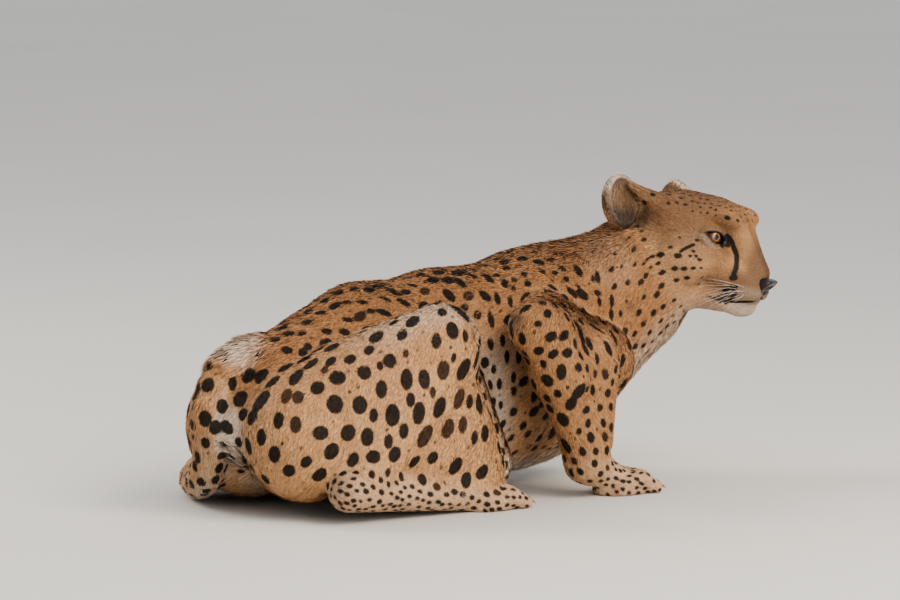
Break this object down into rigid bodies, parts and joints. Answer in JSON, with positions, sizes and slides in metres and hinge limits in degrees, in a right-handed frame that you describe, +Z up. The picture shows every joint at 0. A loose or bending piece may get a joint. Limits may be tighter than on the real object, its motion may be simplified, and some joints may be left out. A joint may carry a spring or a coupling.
{
  "type": "cheetah figure",
  "caption": "Life-size still cheetah crouched on folded legs, head raised and turned to its right, tail laid round the far side.",
  "frame": {"origin": "middle of the bounding box, on the floor", "axes": "+X the way the body faces, +Y the animal's left, +Z up"},
  "size_m": [0.818, 0.4702, 0.3916],
  "materials": {
    "coat": "short dense fur, sandy ochre with solid black spots",
    "eye": "wet polished amber eye",
    "nose_leather": "dark moist pebbled skin",
    "claw_horn": "dull dark horn"
  },
  "bodies": {
    "root": {"eye_right": "eye", "eye_left": "eye", "nose": "nose_leather", "pelvis": "coat", "loin": "coat", "chest": "coat", "neck": "coat", "head": "coat", "ear_right": "coat", "ear_left": "coat", "upper_arm_right": "coat", "forearm_right": "coat", "forefoot_right": "coat", "claw_fore_right_1": "claw_horn", "claw_fore_right_2": "claw_horn", "claw_fore_right_3": "claw_horn", "claw_fore_right_4": "claw_horn", "upper_arm_left": "coat", "forearm_left": "coat", "forefoot_left": "coat", "claw_fore_left_1": "claw_horn", "claw_fore_left_2": "claw_horn", "claw_fore_left_3": "claw_horn", "claw_fore_left_4": "claw_horn", "thigh_right": "coat", "shank_right": "coat", "hindfoot_right": "coat", "calf_right": "coat", "claw_hind_right_1": "claw_horn", "claw_hind_right_2": "claw_horn", "claw_hind_right_3": "claw_horn", "claw_hind_right_4": "claw_horn", "thigh_left": "coat", "shank_left": "coat", "hindfoot_left": "coat", "calf_left": "coat", "claw_hind_left_1": "claw_horn", "claw_hind_left_2": "claw_horn", "claw_hind_left_3": "claw_horn", "claw_hind_left_4": "claw_horn", "tail_1": "coat", "tail_2": "coat", "tail_3": "coat", "tail_4": "coat"}
  },
  "joints": []
}
